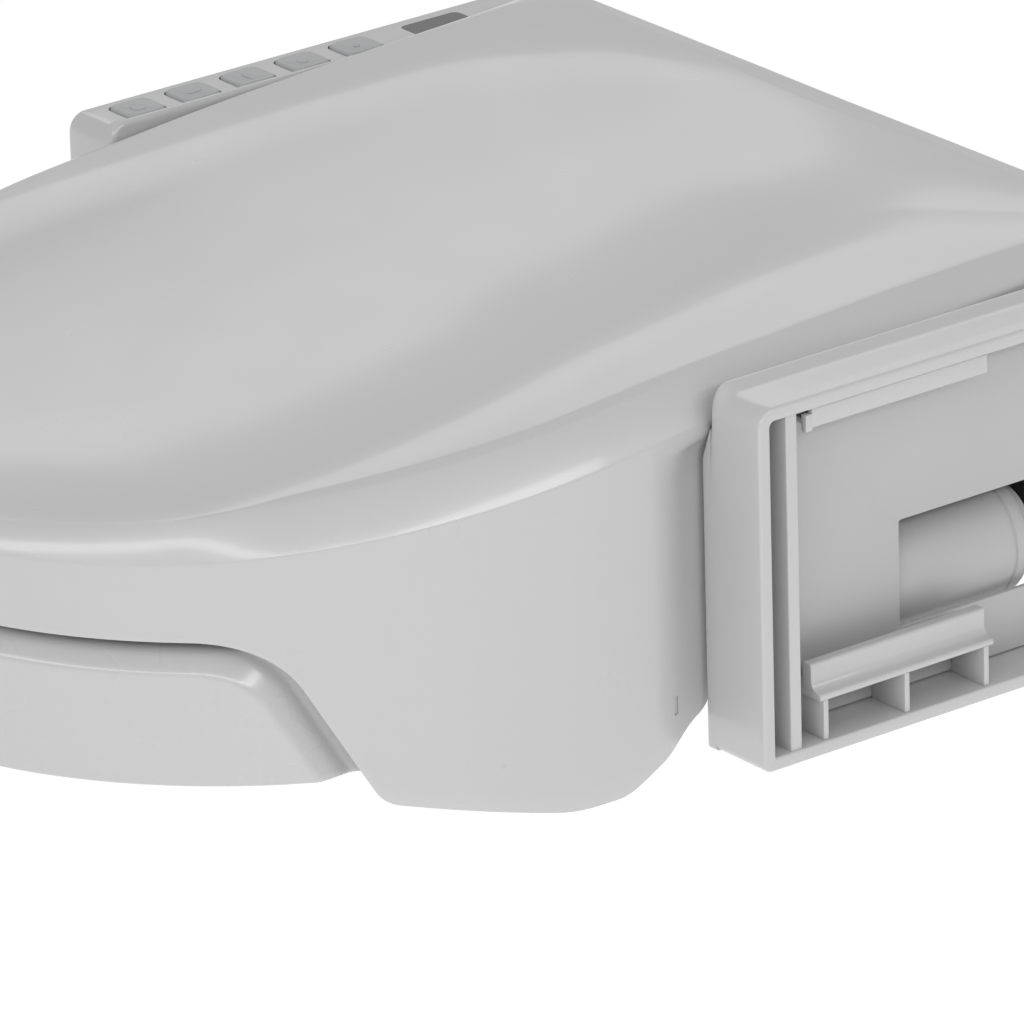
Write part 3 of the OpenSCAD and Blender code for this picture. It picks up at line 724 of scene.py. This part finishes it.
def make_key(name, low, high, centre_dot):
    """A pillowed key with a shallow finger hollow and a plain raised dot or bar."""
    cx, cy = (low[0] + high[0]) / 2, (low[1] + high[1]) / 2
    half_w, half_l = (high[0] - low[0]) / 2, (high[1] - low[1]) / 2
    top = high[2]
    rings = [(1.0, top - 5.0), (1.0, top - 1.6), (0.985, top - 0.9), (0.95, top - 0.35),
             (0.89, top - 0.05), (0.8, top), (0.65, top - 0.18), (0.45, top - 0.42),
             (0.25, top - 0.56), (0.08, top - 0.6)]
    verts = []
    for scale, z in rings:
        verts += [(cx + x * scale, cy + y * scale, z) for x, y in superellipse(half_w, half_l)]
    count = len(superellipse(half_w, half_l))
    faces = grid_faces(len(rings), count, wrap=True)
    faces += [tuple(range(count)), tuple(range((len(rings) - 1) * count, len(rings) * count))]
    key = mesh_piece(name, verts, faces)
    mark_w, mark_l = centre_dot
    marks = [(1.0, top - 0.62), (1.0, top - 0.3), (0.85, top - 0.18), (0.4, top - 0.12)]
    verts = []
    for scale, z in marks:
        verts += [(cx + x * scale, cy + y * scale, z) for x, y in superellipse(mark_w, mark_l, 2.4, 32)]
    faces = grid_faces(len(marks), 32, wrap=True)
    faces += [tuple(range(32)), tuple(range(3 * 32, 4 * 32))]
    return join(name, key, mesh_piece("mark", verts, faces))


def rounded_outline(low, high, radius, count=5):
    (u0, v0), (u1, v1) = low, high
    r = radius
    return (arc((u1 - r, v1 - r), r, 0, 90, count) + arc((u0 + r, v1 - r), r, 90, 180, count)
            + arc((u0 + r, v0 + r), r, 180, 270, count) + arc((u1 - r, v0 + r), r, 270, 360, count))


def make_bay_panel():
    """The bay's inner panel and its window."""
    low, high = node_box("bay_inner_panel")
    panel = extrusion("bay_panel", rounded_outline(low[1:], high[1:], 1.5), "x", low[0], high[0])
    cut(panel, extrusion("window_cut", rounded_outline(*WINDOW, 1.2), "x", 190, 210))
    return bevel(panel, 0.35, 2)


def make_clip_rail():
    """The rail under the bay's roof: a hanging face with a claw at its front end."""
    low, high = node_box("bay_top_clip_rail")
    x0, x1 = low[0], high[0]
    y0, y1 = low[1], high[1]
    foot, top = low[2] + 1.5, high[2] - 0.5
    section = [(x0, foot), (x1 - 0.6, foot), (x1, foot + 0.6), (x1, top - 0.5), (x1 - 0.5, top),
               (x1 - 2.0, top), (x1 - RAIL_T, top - 0.5), (x1 - RAIL_T, foot + RAIL_T), (x0, foot + RAIL_T)]
    rail = extrusion("clip_rail", section, "y", y0 + 3, y1)
    bevel(rail, 0.3, 2)
    claw = extrusion("claw", [(x1 - CLAW_T, foot + 6), (x1 - 0.1, foot + 6), (x1 - 0.1, foot - 0.4),
                              (x1 - 0.8, low[2]), (x1 - 2.4, low[2]), (x1 - CLAW_T, foot - 0.4)],
                     "y", y0, y0 + 3.6)
    bevel(claw, 0.5, 2)
    return join("clip_rail", rail, claw)


def make_shelf():
    """The shelf at the bay's foot: an upright wall, flared out at its toe, standing on ribs."""
    low, high = node_box("bay_bottom_shelf")
    x0, x1 = low[0], high[0]
    y0, y1 = low[1], high[1]
    top = high[2]
    base = top - SHELF_H
    face = x1 - 5.5
    section = [(x0, base), (x1 - 0.7, base), (x1, base + 0.6), (x1, base + 2.0), (x1 - 0.7, base + 2.7)]
    section += arc((face + 4.0, base + 7.0), 4.0, 262, 180, 6)
    section += [(face, top - 0.8), (face - 0.8, top), (face - 4.8, top), (face - 5.5, top - 0.7),
                (face - 5.5, base + 3), (x0, base + 3)]
    wall = extrusion("shelf", section, "y", y0, y1)
    bevel(wall, 0.35, 2)
    ribs = []
    for y in (y0 + 1.5, MIDDLE_RIB_Y, y1 - 5):
        rib = block("rib", (x0, y, low[2]), (x1, y + RIB_T, base + 0.4))
        ribs.append(bevel(rib, 0.4, 2))
    return join("shelf", wall, *ribs)


def make_canister():
    """The cartridge behind the window: a barrel with a dished cap, one groove and an outlet."""
    low, high = node_box("deodorizer_canister")
    cx, cz = (low[0] + high[0]) / 2, (low[2] + high[2]) / 2
    radius = (high[0] - low[0]) / 2
    y0, y1 = low[1], high[1]
    body_end = y1 - 6
    profile = [(0.01, y0 + 2.2), (radius - 9, y0 + 2.2), (radius - 7.5, y0 + 1.6), (radius - 5, y0 + 0.3),
               (radius - 3, y0), (radius - 0.8, y0), (radius - 0.25, y0 + 0.25), (radius, y0 + 0.8),
               (radius, y0 + 24), (radius, body_end - 18)]
    profile += [(radius, body_end - 9), (radius - 0.8, body_end - 8.4), (radius - 0.8, body_end - 7.2),
                (radius, body_end - 6.6), (radius, body_end - 2.6), (radius - 0.7, body_end - 0.9),
                (radius - 2.4, body_end), (radius - 5, body_end), (radius - 5, y1 - 1),
                (radius - 6, y1), (0.01, y1)]
    return lathe("canister", profile, lambda a, b, t: (cx + a, t, cz + b), 96)


# ---- lid's underside, housing and small parts --------------------------------------------------

def make_liner():
    """The panel inside the lid, domed like the top and edged with a shallow groove."""
    end = along_of_y(8)
    s = np.r_[np.arange(0, end, 4.0), end]
    base = outline_at(s)
    out = outward_at(s)
    target = np.stack([0 * s, np.interp(base[:, 1], [-425, 8], [-360, 8])], -1)
    start = base - out * LINER_INSET
    rows = []
    for q, sink in ((0, 3.0), (0.004, 0.8), (0.012, 0), (0.05, 0), (0.056, 1.4), (0.075, 1.4),
                    (0.081, 0), (0.2, 0), (0.35, 0), (0.5, 0), (0.65, 0), (0.8, 0), (1.0, 0)):
        p = start + (target - start) * q
        inset = inset_of(p[:, 0], np.minimum(p[:, 1], 0))
        v = outline_y(p[:, 0], p[:, 1], inset)
        inward = smooth(q / 0.7)
        z = edge_z(v) * (1 - inward) + edge_z(p[:, 1]) * inward - LINER_DEPTH + LINER_RISE * inward
        rows.append(np.c_[p, z + sink])
    rows = np.array(rows)
    rows[:, 0, 0] = 0
    verts, faces = mirrored(rows)
    liner = mesh_piece("lid_lining", verts, faces, weld=0.02)
    wall = liner.modifiers.new("wall", "SOLIDIFY")
    wall.thickness = LINER_WALL * MM
    wall.offset = 0
    return bake_modifiers(liner)


def make_top_cover():
    """The wash unit's cover with a row of cooling louvres across its raised middle."""
    cover = softened("top_cover", 1.4, 3)
    _, high = node_box("top_cover")
    slots = []
    for side in (-1, 1):
        for i in range(LOUVRES):
            x = side * (LOUVRE_FIRST + LOUVRE_PITCH * i)
            outline = rounded_outline((x - LOUVRE_HALF_W, LOUVRE_Y[0]), (x + LOUVRE_HALF_W, LOUVRE_Y[1]), 1.3)
            slots.append(extrusion("louvre_cut", outline, "z", high[2] - 1.2, high[2] + 2))
    return cut(cover, *slots)


def make_front_bezel():
    return softened("front_panel", 0.35)


# ---- materials ---------------------------------------------------------------------------------

def moulded(name, light, dark, roughness, grain=1500.0, bump=0.02, coat=0.0, metal=0.0, wear=0.05,
            spread=0.05, specular=0.5):
    """A moulded or coated surface: cloudy colour, fine grain, uneven gloss, rubbed edges."""
    mat = bpy.data.materials.new(name)
    mat.use_nodes = True
    tree = mat.node_tree
    tree.nodes.clear()
    out = tree.nodes.new("ShaderNodeOutputMaterial")
    shader = tree.nodes.new("ShaderNodeBsdfPrincipled")
    shader.inputs["Metallic"].default_value = metal
    shader.inputs["Specular IOR Level"].default_value = specular
    shader.inputs["Coat Weight"].default_value = coat
    shader.inputs["Coat Roughness"].default_value = 0.12
    tree.links.new(shader.outputs["BSDF"], out.inputs["Surface"])
    place = tree.nodes.new("ShaderNodeTexCoord")

    def noise(scale, detail=3.0, rough=0.55):
        node = tree.nodes.new("ShaderNodeTexNoise")
        node.inputs["Scale"].default_value = scale
        node.inputs["Detail"].default_value = detail
        node.inputs["Roughness"].default_value = rough
        tree.links.new(place.outputs["Object"], node.inputs["Vector"])
        return node.outputs["Fac"]

    def ranged(value, low, high, from_low=0.12, from_high=0.88):
        node = tree.nodes.new("ShaderNodeMapRange")
        node.inputs["From Min"].default_value = from_low
        node.inputs["From Max"].default_value = from_high
        node.inputs["To Min"].default_value = low
        node.inputs["To Max"].default_value = high
        tree.links.new(value, node.inputs["Value"])
        return node.outputs["Result"]

    def mixed(factor, a, b):
        node = tree.nodes.new("ShaderNodeMix")
        node.data_type = "RGBA"
        tree.links.new(factor, node.inputs["Factor"])
        for socket, value in ((node.inputs[6], a), (node.inputs[7], b)):
            if isinstance(value, bpy.types.NodeSocket):
                tree.links.new(value, socket)
            else:
                socket.default_value = (*value, 1)
        return node.outputs[2]

    cloud = noise(CLOUD_SCALE, 2.0)
    colour = mixed(ranged(cloud, 0, 1), dark, light)
    speck = noise(grain, 2.0)
    darker = tuple(c * 0.86 for c in dark)
    colour = mixed(ranged(speck, 0, 0.12, 0.55, 0.8), colour, darker)
    shape = tree.nodes.new("ShaderNodeNewGeometry")
    rub = ranged(shape.outputs["Pointiness"], 0, wear * 6, 0.52, 0.62)
    lighter = tuple(min(1.0, c * 1.12 + 0.03) for c in light)
    colour = mixed(rub, colour, lighter)
    tree.links.new(colour, shader.inputs["Base Color"])
    smear = noise(SMEAR_SCALE, 2.0, 0.5)
    tree.links.new(ranged(smear, roughness - spread, roughness + spread), shader.inputs["Roughness"])
    relief = tree.nodes.new("ShaderNodeBump")
    relief.inputs["Strength"].default_value = bump
    relief.inputs["Distance"].default_value = RELIEF_DEPTH
    tree.links.new(noise(grain * 1.4, 2.0), relief.inputs["Height"])
    tree.links.new(relief.outputs["Normal"], shader.inputs["Normal"])
    return mat


def brushed_steel():
    mat = moulded("brushed_steel", (0.56, 0.57, 0.58), (0.44, 0.45, 0.46), 0.34, grain=500, metal=1.0)
    tree = mat.node_tree
    stretch = tree.nodes.new("ShaderNodeMapping")
    stretch.inputs["Scale"].default_value = (30, 900, 900)
    place = next(n for n in tree.nodes if n.type == "TEX_COORD")
    lines = tree.nodes.new("ShaderNodeTexNoise")
    lines.inputs["Scale"].default_value = 1.0
    tree.links.new(place.outputs["Object"], stretch.inputs["Vector"])
    tree.links.new(stretch.outputs["Vector"], lines.inputs["Vector"])
    relief = next(n for n in tree.nodes if n.type == "BUMP")
    relief.inputs["Strength"].default_value = 0.12
    tree.links.new(lines.outputs["Fac"], relief.inputs["Height"])
    return mat


SHELL = moulded("satin_shell", (0.50, 0.50, 0.50), (0.488, 0.488, 0.488), 0.30, bump=0.0, coat=0.5)
SEAT = moulded("satin_seat", (0.51, 0.51, 0.51), (0.498, 0.498, 0.498), 0.27, bump=0.0, coat=0.5)
INNER = moulded("matt_inner", (0.46, 0.46, 0.46), (0.435, 0.435, 0.435), 0.46, bump=0.06)
GREY = moulded("grey_fittings", (0.40, 0.405, 0.41), (0.37, 0.375, 0.38), 0.42, bump=0.05)
DARK = moulded("dark_fittings", (0.055, 0.056, 0.06), (0.04, 0.041, 0.044), 0.5, bump=0.12)
GLASS = moulded("smoked_window", (0.018, 0.019, 0.022), (0.012, 0.013, 0.015), 0.12, bump=0.005,
                coat=0.6)
BOARD = moulded("solder_mask", (0.03, 0.14, 0.07), (0.02, 0.10, 0.05), 0.38, bump=0.08)
STEEL = brushed_steel()
RUBBER = moulded("grey_rubber", (0.30, 0.305, 0.31), (0.26, 0.265, 0.27), 0.72, bump=0.2)
FOIL = moulded("etched_foil", (0.62, 0.40, 0.20), (0.55, 0.34, 0.16), 0.35, metal=1.0, bump=0.1)
MESH = moulded("strainer_ivory", (0.70, 0.68, 0.58), (0.62, 0.60, 0.50), 0.55, bump=0.15)

BY_SLOT = {"shell_plastic": SHELL, "grey_plastic": GREY, "dark_plastic": DARK,
           "circuit_board": BOARD, "steel": STEEL, "rubber": RUBBER, "heater_foil": FOIL,
           "strainer_mesh": MESH}


# ---- everything in place -----------------------------------------------------------------------

def dress_cad_nodes():
    """Every carried-over node takes the material of its own slot in the record."""
    for row in frame["record"]["subparts"]:
        material = GLASS if row["node"] == "status_window" else BY_SLOT[row["material_slot"]]
        mesh = nodes[row["node"]].data
        mesh.materials.clear()
        mesh.materials.append(material)


def place_pieces():
    finish_piece(make_lid(), "lid", SHELL, "shell_plastic", "lid_shell")
    finish_piece(make_liner(), "lid", INNER, "shell_plastic", "lid_liner")
    finish_piece(make_seat(), "seat", SEAT, "shell_plastic", "seat_top_shell", "seat_bottom_shell")
    finish_piece(make_bay_wing(), "unit", SHELL, "shell_plastic", "bay_wing_shell")
    finish_piece(make_bay_panel(), "unit", INNER, "shell_plastic", "bay_inner_panel")
    finish_piece(make_clip_rail(), "unit", SHELL, "shell_plastic", "bay_top_clip_rail")
    finish_piece(make_shelf(), "unit", SHELL, "shell_plastic", "bay_bottom_shelf")
    finish_piece(make_canister(), "unit", INNER, "grey_plastic", "deodorizer_canister")
    control = make_control_wing()
    wells = []
    for node, mark in KEY_MARKS.items():
        low, high = node_box(node)
        finish_piece(make_key(node + "_cap", low, high, mark), node.replace("_button", "_key"),
                     GREY, "grey_plastic", node)
        wells.append(extrusion("well", rounded_outline(low[:2] - WELL_GAP, high[:2] + WELL_GAP, 4.0), "z",
                               CONTROL_HIGH[2] - 6, CONTROL_HIGH[2] + 9))
    low, high = node_box("status_window")
    wells.append(extrusion("well", rounded_outline(low[:2] - 0.2, high[:2] + 0.2, 3.0), "z",
                           CONTROL_HIGH[2] - 4.5, CONTROL_HIGH[2] + 9))
    low, high = node_box("release_button")
    middle, height = (low[1] + high[1]) / 2, (low[2] + high[2]) / 2
    wells.append(extrusion("well", [(middle + 9.1 * math.cos(a), height + 9.1 * math.sin(a))
                                    for a in np.linspace(0, 2 * math.pi, 61)[:-1]],
                           "x", CONTROL_LOW[0] - 2, CONTROL_LOW[0] + 8))
    cut(control, *wells)
    finish_piece(control, "unit", SHELL, "shell_plastic", "control_wing_shell", "control_wing_cover")
    finish_piece(make_top_cover(), "unit", SHELL, "shell_plastic", "top_cover")
    finish_piece(make_front_bezel(), "unit", GREY, "grey_plastic", "front_panel")
    for node, width, body in (("base_chassis", 1.0, "unit"), ("hinge_brackets", 1.2, "unit"),
                              ("seat_hinge_arms", 1.0, "seat"), ("lid_hinge_lugs", 0.8, "lid")):
        finish_piece(softened(node, width), body, SHELL, "shell_plastic", node)
    for node, width in (("cord_gland", 0.5), ("power_supply", 1.0)):
        finish_piece(softened(node, width), "unit", DARK, "dark_plastic", node)
    finish_piece(softened("mounting_plate", 0.5), "unit", STEEL, "steel", "mounting_plate")
    finish_piece(softened("dryer_flap", 0.25), "flap", SHELL, "shell_plastic", "dryer_flap")
    finish_piece(softened("release_button", 0.8), "release", GREY, "grey_plastic", "release_button")


# ---- camera, floor and light -------------------------------------------------------------------

AZIMUTH = math.radians(52.7)
ELEVATION = math.radians(21.9)
ROLL = math.radians(1.6)
LENS = 386.72
CAMERA_AT = (3.2433, -2.5838, 1.6529)
BOWL_HEIGHT = 400.0               # the seat stands this far above the floor, as it does in use
FLOOR_SIZE = 30.0                 # half the floor's side, in metres
FLOOR_GLOW = 0.35
WORLD_STRENGTH = 0.62
LIGHT_AIM = (0.05, -0.17, 0.08)   # the point that every light looks at, in metres


def add_camera():
    """A long lens held at a slight roll, so its axes are built from the angles themselves."""
    back = Vector((math.sin(AZIMUTH) * math.cos(ELEVATION), -math.cos(AZIMUTH) * math.cos(ELEVATION),
                   math.sin(ELEVATION)))
    right = Vector((math.cos(AZIMUTH), math.sin(AZIMUTH), 0))
    up = back.cross(right)
    turned_right = right * math.cos(ROLL) - up * math.sin(ROLL)
    turned_up = right * math.sin(ROLL) + up * math.cos(ROLL)
    data = bpy.data.cameras.new("camera")
    data.lens = LENS
    data.sensor_width = 36
    data.clip_start = 0.1
    data.clip_end = 60
    camera = bpy.data.objects.new("camera", data)
    camera.matrix_world = Matrix((turned_right, turned_up, back)).transposed().to_4x4()
    camera.location = CAMERA_AT
    bpy.context.scene.collection.objects.link(camera)
    bpy.context.scene.camera = camera


def add_floor():
    size = FLOOR_SIZE
    height = -BOWL_HEIGHT * MM
    mesh = bpy.data.meshes.new("floor")
    mesh.from_pydata([(-size, -size, height), (size, -size, height), (size, size, height),
                      (-size, size, height)], [], [(0, 1, 2, 3)])
    floor = bpy.data.objects.new("floor", mesh)
    bpy.context.scene.collection.objects.link(floor)
    mat = bpy.data.materials.new("pale_floor")
    mat.use_nodes = True
    shader = mat.node_tree.nodes["Principled BSDF"]
    shader.inputs["Base Color"].default_value = (0.9, 0.9, 0.9, 1)
    shader.inputs["Roughness"].default_value = 0.9
    shader.inputs["Emission Color"].default_value = (1, 1, 1, 1)
    shader.inputs["Emission Strength"].default_value = FLOOR_GLOW
    mesh.materials.append(mat)


def softbox(name, azimuth, elevation, width, height, power, distance=2.2):
    """An area light looking at the object's middle; azimuth runs from +X towards +Y, in degrees."""
    data = bpy.data.lights.new(name, "AREA")
    data.shape = "RECTANGLE"
    data.size = width
    data.size_y = height
    data.energy = power
    light = bpy.data.objects.new(name, data)
    across, up = math.radians(azimuth), math.radians(elevation)
    aim = Vector((math.cos(across) * math.cos(up), math.sin(across) * math.cos(up), math.sin(up)))
    light.location = Vector(LIGHT_AIM) + aim * distance
    light.rotation_euler = aim.to_track_quat("Z", "Y").to_euler()
    bpy.context.scene.collection.objects.link(light)


def add_light():
    """Even pale surroundings, three low strips in a row for the edge lights, and one box behind."""
    world = bpy.data.worlds.new("studio")
    world.use_nodes = True
    world.node_tree.nodes["Background"].inputs["Color"].default_value = (1, 1, 1, 1)
    world.node_tree.nodes["Background"].inputs["Strength"].default_value = WORLD_STRENGTH
    bpy.context.scene.world = world
    softbox("front_strip", -85, 28, 1.6, 0.25, 6.5)
    softbox("middle_strip", -40, 28, 1.6, 0.25, 6.5)
    softbox("side_strip", 5, 28, 1.6, 0.25, 8.0)
    softbox("rear_high", 142, 33, 1.4, 0.8, 3.2)
    bpy.context.scene.view_settings.view_transform = "Standard"


add_camera()
add_floor()
add_light()
dress_cad_nodes()
place_pieces()
